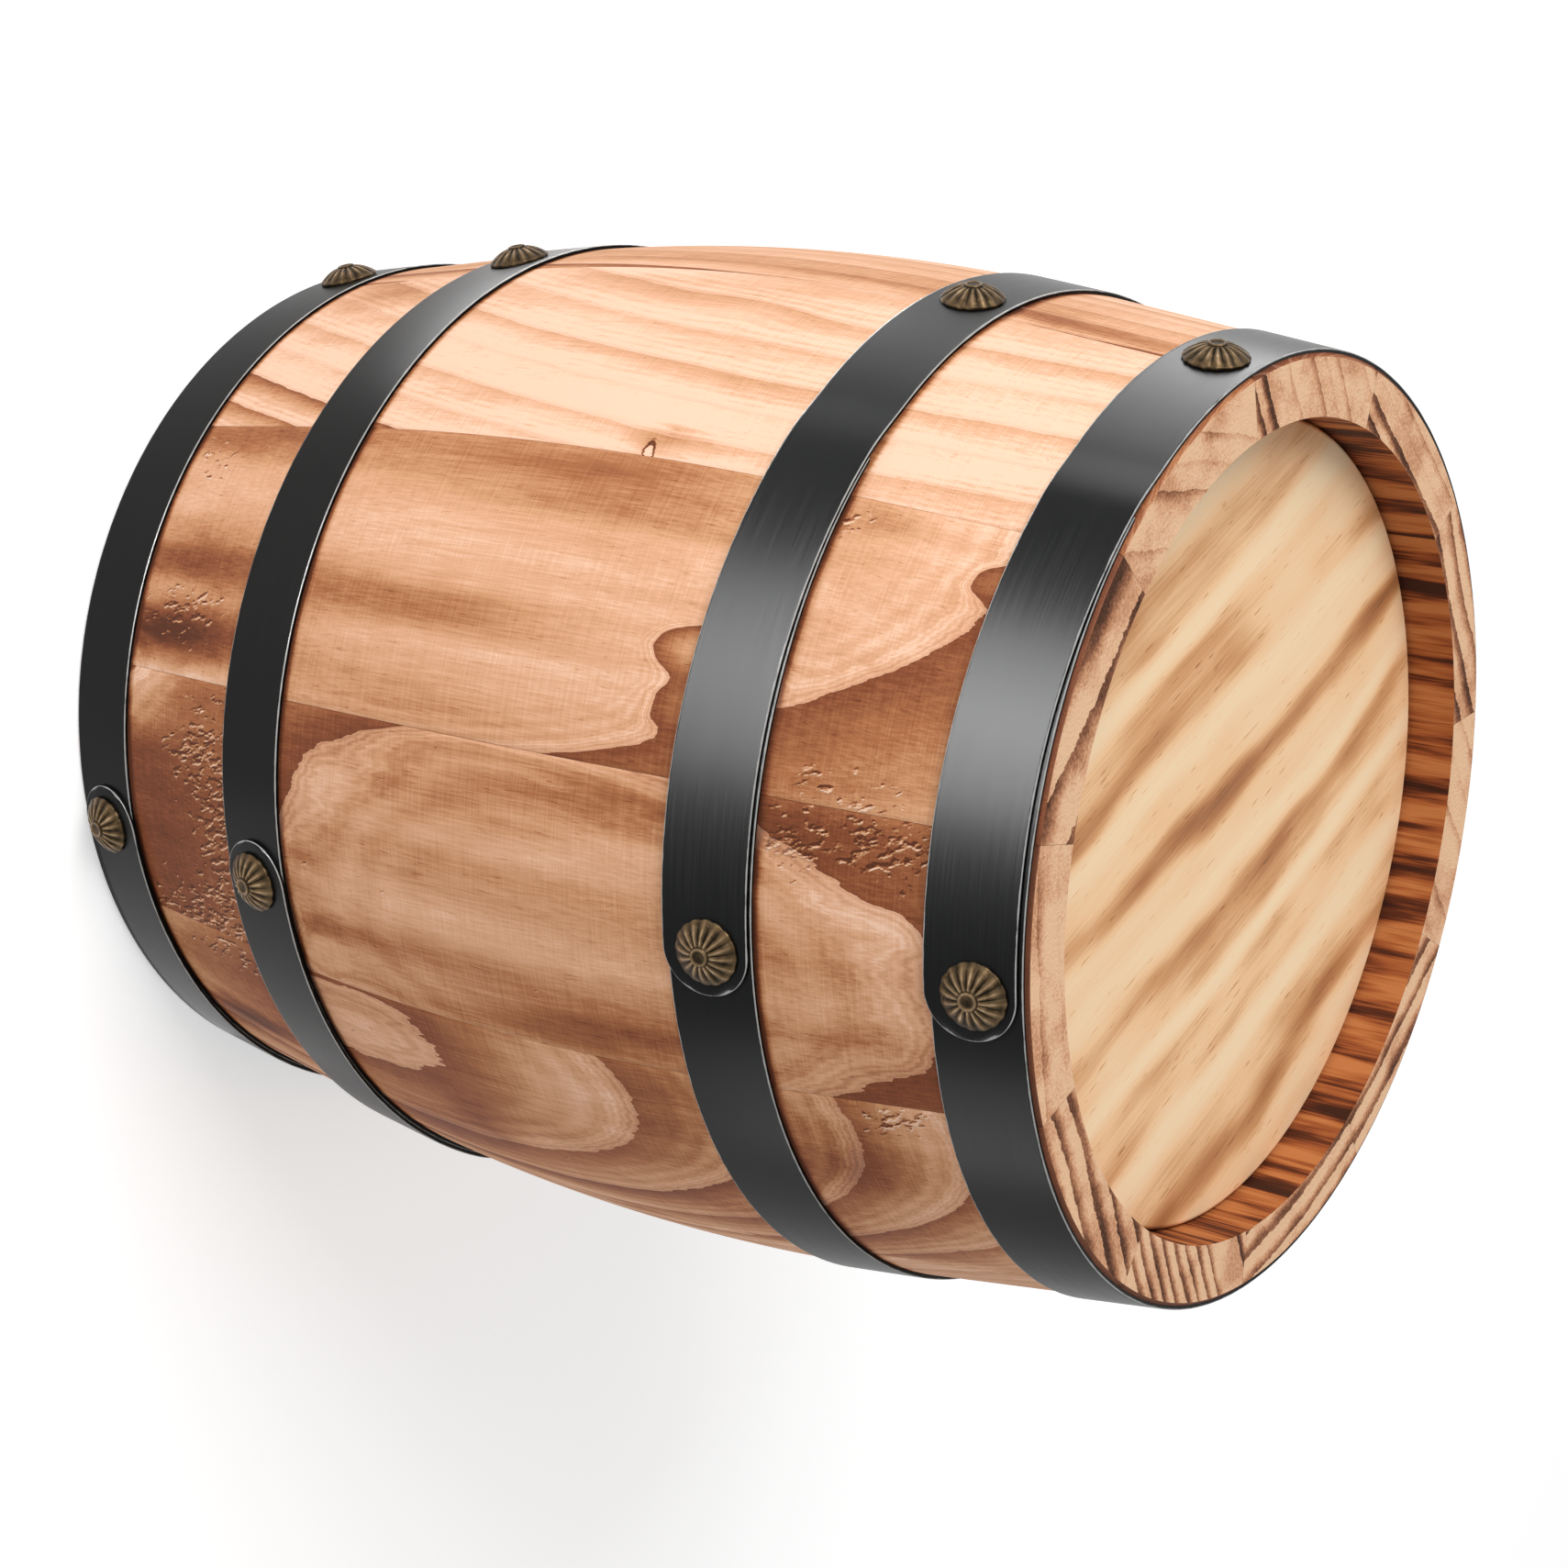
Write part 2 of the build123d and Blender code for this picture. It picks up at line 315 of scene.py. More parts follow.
def flamed_face(tree):
    """Flamed and brushed pine: pale peach early wood and red-brown late wood, matt, with the
    brushed fibre standing out and fine turning marks across it."""
    late, past, fibre, cross = add_node(tree, "Group", node_tree=rings_group).outputs
    tone, torn, board = [
        add_node(tree, "Attribute", attribute_name=name).outputs[kind]
        for name, kind in (("tone", "Fac"), ("torn", "Fac"), ("board", "Vector"))
    ]
    # Where early wood starts, thin pale and dark lines follow the ring.
    lines = 0.0
    for closeness, reach, force in ((24.0, 1.1, 0.09), (95.0, 0.42, 0.1)):
        wave = add_node(tree, "Math", (past, closeness), operation="MULTIPLY")
        wave = add_node(tree, "Math", (wave,), operation="SINE")
        near = add_node(tree, "MapRange", (past, 0.0, reach, force, 0.0))
        lines = add_node(tree, "Math", (wave, near, lines), operation="MULTIPLY_ADD")
    # The tone darkens the wood: the flame's marks, and painted shadow beside the hoops.
    paler = add_node(tree, "Math", (1.0, tone), operation="SUBTRACT")
    dark = add_node(tree, "Math", (late, paler), operation="MULTIPLY")
    dark = add_node(tree, "Math", (dark, 0.72, tone), operation="MULTIPLY_ADD")
    fine = add_node(tree, "MapRange", (fibre, *noise_span, -0.08, 0.08))
    turned = add_node(tree, "MapRange", (cross, *noise_span, -0.055, 0.055))
    # Resin canals: short dark dashes 0.4 mm wide and 6 mm long.
    place = add_node(tree, "VectorMath", (board, (2.4, 2.4, 0.17)), operation="MULTIPLY")
    canal = add_node(tree, "TexNoise", {"Vector": place, "Scale": 1.0, "Detail": 1.0})
    canal = add_node(tree, "MapRange", (canal, 0.67, 0.75, 0.0, 0.16))
    for part in (lines, fine, turned, canal):
        dark = add_node(tree, "Math", (dark, part))
    # Torn chips about 1.5 by 4 mm, slanting over the grain. Each has painted shade on one side
    # and a painted highlight on the other, as the light would fall on it.
    slanted = {"Vector": board, "Angle": chip_slant}
    place = add_node(tree, "VectorRotate", slanted, rotation_type="Y_AXIS")
    place = add_node(tree, "VectorMath", (place, (0.6, 0.6, 0.24)), operation="MULTIPLY")
    beside = add_node(tree, "VectorMath", (place, chip_highlight_side))
    share = add_node(tree, "MapRange", (torn, 0.0, 0.9, -0.14, 0.13))
    pits = []
    for spot in (place, beside):
        inputs = {"Vector": spot, "Scale": 1.0, "Detail": 3.0, "Roughness": 0.55}
        pit = add_node(tree, "TexNoise", inputs)
        pit = add_node(tree, "Math", (pit, share))
        pits.append(add_node(tree, "MapRange", (pit, 0.6, 0.7)))
    chip_shade_and_highlight = add_node(tree, "Math", pits, operation="SUBTRACT")
    dark = add_node(tree, "Math", (chip_shade_and_highlight, -0.75, dark), operation="MULTIPLY_ADD")
    # The knot is a pale hole with a dark rim, and the fibre makes its outline uneven.
    aside = add_node(tree, "VectorMath", (board, knot_place), operation="SUBTRACT")
    slanted = {"Vector": aside, "Angle": knot_slant}
    aside = add_node(tree, "VectorRotate", slanted, rotation_type="Y_AXIS")
    aside = add_node(tree, "VectorMath", (aside, knot_measure), operation="MULTIPLY")
    knot = add_node(tree, "VectorMath", (aside,), operation="LENGTH").outputs["Value"]
    knot = add_node(tree, "Math", (fibre, 1.4, knot), operation="MULTIPLY_ADD")
    rim = add_node(tree, "MapRange", (knot, 2.25, 1.9, 0.0, 0.8))
    hole = add_node(tree, "MapRange", (knot, 1.75, 1.5, 0.0, -1.0))
    for part in (rim, hole):
        dark = add_node(tree, "Math", (dark, part))
    stops = [(0.0, "#F9CFB2"), (0.18, "#E6B18D"), (0.36, "#D29A70")]
    stops += [(0.55, "#B07148"), (0.76, "#874A2D"), (1.0, "#5A2F1B")]
    colour = add_node(tree, "ValToRGB", (dark,), stops)
    # The first of each ring's early wood is a little pinker.
    pink = add_node(tree, "MapRange", (past, 0.0, 0.25, 0.3, 0.0))
    mixed = {0: pink, 6: colour, 7: linear("#E2AE90")}
    colour = add_node(tree, "Mix", mixed, data_type="RGBA").outputs[2]
    relief = fibre
    for part, height in ((late, 0.8), (cross, 0.8), (pits[0], 4.0)):
        relief = add_node(tree, "Math", (part, height, relief), operation="MULTIPLY_ADD")
    bump = add_node(tree, "Bump", {"Height": relief, "Strength": 0.6, "Distance": 0.00015})
    return {"Base Color": colour, "Roughness": 0.6, "Specular IOR Level": 0.15, "Normal": bump}


def flamed_end(tree):
    """Flamed end grain of the chimes: matt and granular, with soft early wood and grey-brown late
    wood in wide bands."""
    late = add_node(tree, "Group", node_tree=rings_group).outputs["Late wood"]
    board = add_node(tree, "Attribute", attribute_name="board").outputs["Vector"]
    inputs = {"Vector": board, "Scale": 1.1, "Detail": 4.0, "Roughness": 0.72}
    grain = add_node(tree, "TexNoise", inputs)
    smoke = add_node(tree, "TexNoise", {"Vector": board, "Scale": 0.07, "Detail": 2.0})
    band = add_node(tree, "MapRange", (late, 0.15, 0.65, 0.0, 0.72))
    soot = add_node(tree, "MapRange", (smoke, 0.38, 0.65, -0.14, 0.28))
    speck = add_node(tree, "MapRange", (grain, *noise_span, -0.2, 0.2))
    dark = add_node(tree, "Math", (band, soot))
    dark = add_node(tree, "Math", (dark, speck))
    stops = [(0.0, "#FBCEA6"), (0.2, "#EBB38B"), (0.42, "#C68B66"), (0.68, "#8F5D44")]
    colour = add_node(tree, "ValToRGB", (dark,), stops + [(1.0, "#4E3326")])
    relief = add_node(tree, "Math", (band, 0.8, grain), operation="MULTIPLY_ADD")
    bump = add_node(tree, "Bump", {"Height": relief, "Strength": 1.0, "Distance": 0.0005})
    return {"Base Color": colour, "Roughness": 0.85, "Specular IOR Level": 0.1, "Normal": bump}


def scorched_bore(tree):
    """The turned recess wall: orange pine, torn and scorched dark brown in blocks of fine streaks.
    The streaks are 1 mm wide and the blocks some 8 mm."""
    board = add_node(tree, "Attribute", attribute_name="board").outputs["Vector"]
    noises = []
    for scale, detail, roughness in (((0.9, 0.9, 0.03), 3.0, 0.6), ((0.13, 0.13, 0.02), 2.0, 0.5)):
        place = add_node(tree, "VectorMath", (board, scale), operation="MULTIPLY")
        inputs = {"Vector": place, "Scale": 1.0, "Detail": detail, "Roughness": roughness}
        noises.append(add_node(tree, "TexNoise", inputs))
    streak, block = noises
    dark = add_node(tree, "Math", (block, 2.2, streak), operation="MULTIPLY_ADD")
    dark = add_node(tree, "MapRange", (dark, 1.38, 1.95))
    stops = [(0.0, "#C27C48"), (0.3, "#AC6434"), (0.5, "#96502A"), (0.7, "#5F2D16")]
    colour = add_node(tree, "ValToRGB", (dark,), stops + [(1.0, "#3A1A0D")])
    bump = add_node(tree, "Bump", {"Height": streak, "Strength": 0.7, "Distance": 0.0003})
    return {"Base Color": colour, "Roughness": 0.6, "Specular IOR Level": 0.2, "Normal": bump}


# Each stave's board, stave_01 first. The growth rings lie level with the outside at the apex, so
# there the figure is an oval: its turn in degrees from the stave's middle and its height in mm
# over the keg's. Then the rings' curl in 1/mm, positive for a pith inside the keg, their spacing
# in mm, the ring count at the apex, and the board's own tone.
boards = [
    (3.3, 29, 0.0019, 18.0, 6.36, 0.33),
    (-10.3, -52, -0.003, 6.5, 14.14, 0.22),
    (-62, -40, 0.003, 4.4, 8.5, 0.22),
    (10, 30, 0.004, 8.0, 19.6, 0.2),
    (-12, -25, 0.0005, 4.6, 5.7, 0.2),
    (64, 0, 0.0025, 4.2, 17.2, 0.15),
    (8, 50, -0.001, 5.5, 13.6, 0.25),
    (-6, -60, 0.0, 5.0, 6.9, 0.2),
    (-66, 20, 0.002, 8.0, 28.2, 0.12),
    (-60, 55, 0.0048, 7.6, 25.3, -0.05),
    (-13.8, -30, 0.0, 24.0, 6.85, 0.21),
]
# The rings on the ends, by stave: their spacing in mm and their count at the outside's middle.
end_rings = {
    1: (9.0, 18.4), 2: (6.5, 13.3), 3: (4.6, 12.6), 4: (7.0, 13.6), 5: (8.0, 14.2), 6: (9.0, 20.3),
    7: (7.5, 11.5), 8: (5.0, 18.5), 9: (5.5, 20.5), 10: (7.0, 21.4), 11: (13.0, 11.7),
}
# Places where the rings dip or rise under a stave's outside, by stave: turn in degrees and height
# in mm on the keg, reach across and along in mm, and rise in mm.
swells = {
    1: [
        (-15, 128, 7, 34, 1.8), (-11, 100, 10, 14, 1.8), (12, 95, 8, 16, 1.8),
        (2, 90, 24, 12, 2.0), (14.5, 92, 7, 16, 2.2), (-4.5, 268, 7, 12, 1.3),
        (8, 270, 12, 10, 0.9),
    ],
    11: [
        (-30.2, 213, 6, 14, -24), (-24.5, 213, 6, 13, -8), (-42, 277, 3.5, 7, -5),
        (-17, 40, 8, 34, 4.5),
    ],
    10: [(-50.2, 178, 5, 14, 2.0), (-73.5, 174, 7, 16, -2.2)],
}
# Where the flame stayed longer or kept off, by stave: turn, height, reach across and along, amount.
flame_marks = {
    1: [
        (-13.2, 195, 3.5, 48, 0.2), (0, 240, 5, 34, 0.16), (9.5, 160, 12, 65, 0.12),
        (12.5, 190, 6, 34, 0.3), (-7, 262, 12, 24, -0.18), (-8, 105, 8, 14, -0.1),
        (0, 34, 90, 30, 0.42), (-15.2, 24, 11, 20, -0.7), (8.5, 104, 4, 22, 0.2),
        (-10.2, 165, 4, 46, 0.15), (-6.5, 195, 4, 40, -0.14), (-13.5, 262, 6, 22, 0.2),
        (5, 190, 3, 60, -0.12), (7.5, 262, 5, 22, 0.14), (-2.5, 135, 3.5, 40, 0.1),
        (3, 140, 5, 40, -0.1), (0.5, 96, 3, 9, 0.2),
    ],
    2: [
        (20, 246, 22, 13, 0.2), (21, 203, 24, 13, 0.24), (33, 131, 11, 12, 0.4),
        (22, 165, 14, 16, -0.16), (38, 105, 12, 22, 0.44), (33, 42, 7, 26, 0.8),
        (20, 45, 12, 26, 0.05), (42, 180, 10, 90, 0.12), (40, 225, 12, 40, 0.2),
        (28, 245, 10, 20, 0.34),
    ],
    9: [
        (-88, 150, 8, 160, 0.15), (-96, 60, 20, 60, 0.15), (-85.5, 262, 5, 40, 0.3),
        (-86, 170, 4, 70, 0.16),
    ],
    10: [
        (-79, 160, 12, 60, 0.16), (-77, 262, 12, 22, 0.12), (-76, 40, 14, 22, 0.3),
        (-52.6, 184, 3, 8, 0.3), (-51, 177, 4.5, 7, 0.22), (-62, 100, 12, 60, -0.05),
    ],
    11: [
        (-46.5, 170, 15, 50, 0.3), (-47, 110, 11, 40, 0.12), (-38, 150, 14, 90, -0.15),
        (-29.5, 130, 7, 52, 0.29), (-19.3, 125, 7, 55, 0.26), (-25, 120, 6, 60, -0.06),
        (-47, 44, 7, 60, 0.34), (-38, 44, 4, 50, -0.1), (-31, 44, 5, 45, 0.34),
        (-23, 40, 7, 36, 0.8), (-27, 44, 2.5, 40, -0.1), (-17.6, 44, 3.5, 30, -0.35),
        (-46.5, 245, 8, 12, 0.2), (-21, 255, 8, 25, 0.1), (-33, 44, 16, 34, 0.16),
    ],
}
# Where the cutter tore small chips out, by stave: turn, height, reach across and along, density.
torn_marks = {
    1: [
        (0, 62, 30, 17, 0.9), (13, 44, 10, 26, 0.85), (-8, 52, 10, 15, 0.55),
        (-13, 266, 9, 16, 0.85), (-12, 242, 8, 12, 0.7),
    ],
    2: [(19, 264, 6, 12, 0.85), (20, 52, 7, 20, 0.7)],
    11: [
        (-25, 42, 10, 20, 0.85), (-19, 255, 8, 22, 0.6), (-44, 34, 10, 18, 0.5),
        (-46, 238, 8, 6, 0.6),
    ],
}
stave_materials = (
    new_material("flamed_brushed_pine", flamed_face),
    new_material("flamed_end_grain", flamed_end),
    new_material("scorched_turned_pine", scorched_bore),
)
zones = {"face": 0, "end": 1, "bore": 2}
half_arc = stave_pitch / 2 - joint_gap / belly_radius / 2


def stave_columns(grid):
    """Turns of a stave's columns from its middle, closer together beside its two edges."""
    arc = 2 * half_arc * belly_radius
    places = edge_steps + steps(edge_zone, arc - edge_zone, grid)
    places += [arc - place for place in reversed(edge_steps)]
    return np.array(places) / belly_radius - half_arc


def wrap_tree():
    """Geometry nodes that bend a flat piece round the keg's axis. In the flat piece X is the turn
    in radians, -Y the distance out from the seat and Z the distance up the stave."""
    tree = bpy.data.node_groups.new("wrapped_round_keg", "GeometryNodeTree")
    tree.is_modifier = True
    tree.interface.new_socket("Flat piece", in_out="INPUT", socket_type="NodeSocketGeometry")
    for name in ("Seat radius", "Seat height", "Lean"):
        tree.interface.new_socket(name, in_out="INPUT", socket_type="NodeSocketFloat")
    tree.interface.new_socket("Bent piece", in_out="OUTPUT", socket_type="NodeSocketGeometry")
    piece, radius, height, lean = add_node(tree, "NodeGroupInput").outputs[:4]
    place = add_node(tree, "GeometryNodeInputPosition")
    flat = add_node(tree, "SeparateXYZ", (place,))
    upright = add_node(tree, "CombineXYZ", (0.0, flat.outputs[1], flat.outputs[2]))
    back = add_node(tree, "Math", (lean, -1.0), operation="MULTIPLY")
    leant = add_node(
        tree, "VectorRotate", {"Vector": upright, "Angle": back}, rotation_type="X_AXIS"
    )
    inwards = add_node(tree, "Math", (radius, -1.0), operation="MULTIPLY")
    seat = add_node(tree, "CombineXYZ", (0.0, inwards, height))
    moved = add_node(tree, "VectorMath", (leant, seat))
    turned = add_node(
        tree, "VectorRotate", {"Vector": moved, "Angle": flat}, rotation_type="Z_AXIS"
    )
    bent = add_node(tree, "GeometryNodeSetPosition", {"Geometry": piece, "Position": turned})
    add_node(tree, "NodeGroupOutput", (bent,))
    return tree


def made_plain(piece, tree, inputs):
    """Run a piece through a geometry nodes tree and keep the result as its plain mesh."""
    modifier = piece.modifiers.new(tree.name, "NODES")
    modifier.node_group = tree
    for item in tree.interface.items_tree:
        if item.item_type == "SOCKET" and item.in_out == "INPUT" and item.name in inputs:
            modifier[item.identifier] = inputs[item.name]
    evaluated = piece.evaluated_get(bpy.context.evaluated_depsgraph_get())
    mesh = bpy.data.meshes.new_from_object(evaluated)
    piece.modifiers.clear()
    flat_mesh = piece.data
    piece.data = mesh
    bpy.data.meshes.remove(flat_mesh)
    mesh.name = piece.name
    mesh.shade_smooth()
    mesh.set_sharp_from_angle(angle=sharp_angle)


def swept_piece(name, grid, materials, zones=None):
    """A flat piece from columns of closed sections, with its first and last section filled."""
    columns, rows = grid.shape[:2]
    here = np.arange(columns * rows).reshape(columns, rows)
    after = np.roll(here, -1, axis=1)
    quads = np.stack([here[:-1], here[1:], after[1:], after[:-1]], -1).reshape(-1, 4)
    faces = quads.tolist() + [here[0].tolist(), here[-1, ::-1].tolist()]
    mesh = bpy.data.meshes.new(name + "_flat")
    mesh.from_pydata(grid.reshape(-1, 3).tolist(), [], faces)
    for material in materials:
        mesh.materials.append(material)
    if zones is not None:
        mesh.polygons.foreach_set("material_index", list(zones) * (columns - 1) + [0, 0])
    piece = bpy.data.objects.new(name, mesh)
    scene.collection.objects.link(piece)
    return piece


keg_wrap = wrap_tree()
for number, (apex_turn, apex_height, curl, spacing, apex_count, tone) in enumerate(boards, 1):
    name = f"stave_{number:02d}"
    marked = number in flame_marks
    grid = fine_grid if marked else plain_grid
    row_radius, row_height, row_zone = zip(*stave_section(grid))
    height, turn = np.meshgrid(row_height, stave_columns(grid))
    radius = np.broadcast_to(row_radius, turn.shape)
    on_outside = np.abs(radius - [outside_radius(z) for z in row_height]) < tolerance

    # Each point's place on its board, and its depth under the ring at the figure's apex.
    side = radius * np.sin(turn) * mm
    out = (radius * np.cos(turn) - belly_radius) * mm
    along = (height - half_height) * mm
    board = np.stack([side, out, along + mm * number], -1)
    lean = asin(apex_height / mm / bend_radius)
    tilt = radians(apex_turn)
    apex_radius = (belly_radius - bend_radius + bend_radius * cos(lean)) * mm
    from_apex_side = side - apex_radius * sin(tilt)
    from_apex_out = out - apex_radius * cos(tilt) + belly_radius * mm
    from_apex_along = along - apex_height
    depth = (
        from_apex_side * sin(tilt) * cos(lean)
        + from_apex_out * cos(tilt) * cos(lean)
        + from_apex_along * sin(lean)
    )
    sideways = from_apex_side * cos(tilt) - from_apex_out * sin(tilt)
    depth = depth + curl * sideways**2 / 2

    # The tone holds the board's own, the flame's marks and the painted shadow beside the hoops.
    tone_and_hoop_shadow = np.full_like(side, tone)
    for amount, across, lengthways in tone_noises:
        tone_and_hoop_shadow += amount * grain_noise(board, across, lengthways)
    torn = np.zeros_like(side)
    wander = wander_noise[0] * grain_noise(board, *wander_noise[1:]) if marked else 0
    for marks, field in ((swells, depth), (flame_marks, tone_and_hoop_shadow), (torn_marks, torn)):
        for mark_turn, mark_height, across, lengthways, amount in marks.get(number, ()):
            mark_side = belly_radius * mm * sin(from_middle(number, mark_turn))
            off_side = (side - mark_side + wander) / across
            off_along = (height * mm - mark_height + wander) / lengthways
            field += amount * np.exp(-(off_side**2) - off_along**2)
    # Painted shadow beside each hoop, strong over it and faint under it, with a little brown stain.
    for hoop_height in hoop_heights:
        for way, amount, reach in hoop_shadow_stains:
            past = way * (height - hoop_height) * mm - half_width * mm
            stain = amount * np.exp(-((np.maximum(past, 0) / reach) ** 2))
            tone_and_hoop_shadow += stain * (past > -hoop_shadow_inset)
    edge = (half_arc - np.abs(turn)) * radius
    radius = radius - np.where(on_outside, joint_depth * np.exp(-((edge / joint_reach) ** 2)), 0)

    flat = np.stack([stave_middle(number) + turn, -radius, height], -1)
    stave = swept_piece(name + "_pine", flat, stave_materials, [zones[zone] for zone in row_zone])
    # The ends show rings of their own, counted from the top end's outside.
    end_spacing, end_count = end_rings[number]
    end_spot = np.argmin(np.abs(turn) + np.abs(radius - end_radius) + np.abs(height - keg_height))
    end_ring = (depth - depth.ravel()[end_spot]) / end_spacing + end_count
    set_values(stave.data, "rings", np.where(on_outside, depth / spacing + apex_count, end_ring))
    narrow = np.where(on_outside, usual_spacing / spacing, end_waviness)
    set_values(stave.data, "narrow", narrow)
    set_values(stave.data, "tone", tone_and_hoop_shadow)
    set_values(stave.data, "torn", torn)
    set_values(stave.data, "board", board, "FLOAT_VECTOR")
    made_plain(stave, keg_wrap, {})
    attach(stave, "root")
    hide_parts(name)

# Heads
# Two round boards of pale softwood, glued on ledges inside the chimes. They are sanded, their edges
# are eased, and the flame has browned them in soft stripes along the grain.
head_clearance = 0.0005
head_round = 0.0015
head_columns = 128
head_grid = 0.006
head_radius = bore_radius - head_clearance
head_grain_turn = atan2(-0.955, 0.297)
round_steps = [radians(15 * number) for number in range(7)]


def head_section():
    """Half section of a head board as (radius, height), from its lower middle to its upper one."""
    flat = [(r, 0) for r in steps(0, head_radius - head_round, head_grid)]
    lower = [
        (head_radius - head_round * (1 - sin(a)), head_round * (1 - cos(a))) for a in round_steps
    ]
    upper = [(radius, head_thickness - height) for radius, height in reversed(lower)]
    return flat + lower + upper + [(radius, head_thickness) for radius, _ in reversed(flat)]


def turned_faces(rows, columns):
    """Faces of a closed turned mesh. Its points are the lower middle, then the rows, which run
    round the axis, and then the upper middle."""
    afters = [*range(1, columns), 0]
    last = 1 + (rows - 1) * columns
    faces = []
    for low in range(1, last, columns):
        high = low + columns
        for column, after in enumerate(afters):
            faces.append((low + column, low + after, high + after, high + column))
    for column, after in enumerate(afters):
        faces.append((0, 1 + after, 1 + column))
        faces.append((last + column, last + after, last + columns))
    return faces


def sanded_head(tree):
    """Sanded pale pine: warm yellow, browned in soft stripes along the grain, with fine fibre and
    short dark pores. A dark line of painted shade runs round the rim, by the chime wall."""
    board = add_node(tree, "Attribute", attribute_name="board").outputs["Vector"]
    rim = add_node(tree, "Attribute", attribute_name="rim").outputs["Fac"]
    # Four noises, drawn out along the grain: the stripes' slow bend and their force, fibres 0.6 mm
    # wide, and pores as wide and 8 mm long.
    noises = []
    for scale, noise_scale, detail, roughness in (
        ((0.014, 0.006, 0.06), 1.0, 3.0, 0.5),
        ((0.03, 0.012, 0.06), 1.3, 2.0, 0.5),
        ((1.8, 0.05, 0.5), 1.0, 3.0, 0.6),
        ((1.6, 0.13, 0.5), 1.0, 1.0, 0.5),
    ):
        place = add_node(tree, "VectorMath", (board, scale), operation="MULTIPLY")
        inputs = {"Vector": place, "Scale": noise_scale, "Detail": detail, "Roughness": roughness}
        noises.append(add_node(tree, "TexNoise", inputs))
    bend, force, fibre, pore = noises
    # The stripes are about 30 mm apart with finer ones between.
    across = add_node(tree, "SeparateXYZ", (board,))
    stripe = 0.0
    for closeness, bending, part in ((0.205, 9.0, 0.8), (0.47, 16.0, 0.36)):
        wave = add_node(tree, "Math", (across, closeness), operation="MULTIPLY")
        wave = add_node(tree, "Math", (bend, bending, wave), operation="MULTIPLY_ADD")
        wave = add_node(tree, "Math", (wave,), operation="SINE")
        stripe = add_node(tree, "Math", (wave, part, stripe), operation="MULTIPLY_ADD")
    force = add_node(tree, "MapRange", (force, 0.3, 0.65, 0.12, 0.42))
    dark = add_node(tree, "Math", (stripe, force), operation="MULTIPLY")
    dark = add_node(tree, "Math", (force, 1.0, dark), operation="MULTIPLY_ADD")
    fine = add_node(tree, "MapRange", (fibre, *noise_span, -0.07, 0.07))
    pore = add_node(tree, "MapRange", (pore, 0.69, 0.76, 0.0, 0.3))
    for part in (fine, pore):
        dark = add_node(tree, "Math", (dark, part))
    # Painted shade: the rim darkens where the head meets the chime wall.
    dark = add_node(tree, "Math", (rim, 0.5, dark), operation="MULTIPLY_ADD")
    stops = [(0.0, "#FFE1B8"), (0.3, "#FACC9C"), (0.5, "#DCA370"), (0.75, "#B97B4C")]
    colour = add_node(tree, "ValToRGB", (dark,), stops + [(1.0, "#8A5736")])
    bump = add_node(tree, "Bump", {"Height": fibre, "Strength": 0.4, "Distance": 0.0001})
    return {"Base Color": colour, "Roughness": 0.55, "Specular IOR Level": 0.2, "Normal": bump}


head_material = new_material("sanded_flamed_head", sanded_head)
for head_name, head_low in (
    ("head_top", keg_height - recess_depth - head_thickness),
    ("head_bottom", recess_depth),
):
    points = [(0, 0, head_low)]
    rows = head_section()[1:-1]
    for radius, height in rows:
        for column in range(head_columns):
            angle = 2 * pi * column / head_columns
            points.append((radius * cos(angle), radius * sin(angle), head_low + height))
    points.append((0, 0, head_low + head_thickness))
    mesh = bpy.data.meshes.new(head_name + "_board")
    mesh.from_pydata(points, [], turned_faces(len(rows), head_columns))
    mesh.materials.append(head_material)
    x, y, z = np.array(points).T
    along = x * cos(head_grain_turn) + y * sin(head_grain_turn)
    across = y * cos(head_grain_turn) - x * sin(head_grain_turn)
    set_values(mesh, "board", np.stack([across * mm, along * mm, z * mm], -1), "FLOAT_VECTOR")
    # The rim's painted shade, strongest at the edge and gone within about a millimetre.
    from_edge = (head_radius - np.hypot(x, y)) / head_round
    set_values(mesh, "rim", np.exp(-((from_edge * 2) ** 2)))
    mesh.shade_smooth()
    mesh.set_sharp_from_angle(angle=sharp_angle)
    head = bpy.data.objects.new(mesh.name, mesh)
    scene.collection.objects.link(head)
    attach(head, "root")
    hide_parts(head_name)

# Hoops
# Four hoops of flat mild steel strap, painted satin black. Each goes once round, laps over its own
# start and ends in a half round, and its sheared edges show bare metal.
strap_thickness = 0.0009
strap_clearance = 0.0001
layer_gap = 0.0001
lap_angle = radians(54)
ramp_angle = radians(8)
slide_angle = radians(45)
top_nail_turn = radians(0)
bottom_nail_turn = radians(5)
chime_lap_shift = 0.0012
quarter_lap_shift = 0.0007
hoop_step = radians(1.5)
ramp_step = radians(0.5)
edge_round = 0.00015
edge_wear = 0.0002
tip_steps = 20
tip_end = 0.9995

strap_seat = strap_clearance + strap_thickness
lap_level = strap_seat + layer_gap
hoops = {
    "chime_hoop_top": (top_chime, top_nail_turn, 1, -chime_lap_shift),
    "quarter_hoop_top": (top_quarter, top_nail_turn, 1, -quarter_lap_shift),
    "quarter_hoop_bottom": (keg_height - top_quarter, bottom_nail_turn, -1, quarter_lap_shift),
    "chime_hoop_bottom": (keg_height - top_chime, bottom_nail_turn, -1, chime_lap_shift),
}
strap_rows = [-1, -0.993, -0.985, -0.95, -0.5, 0, 0.5, 0.95, 0.985, 0.993, 1]


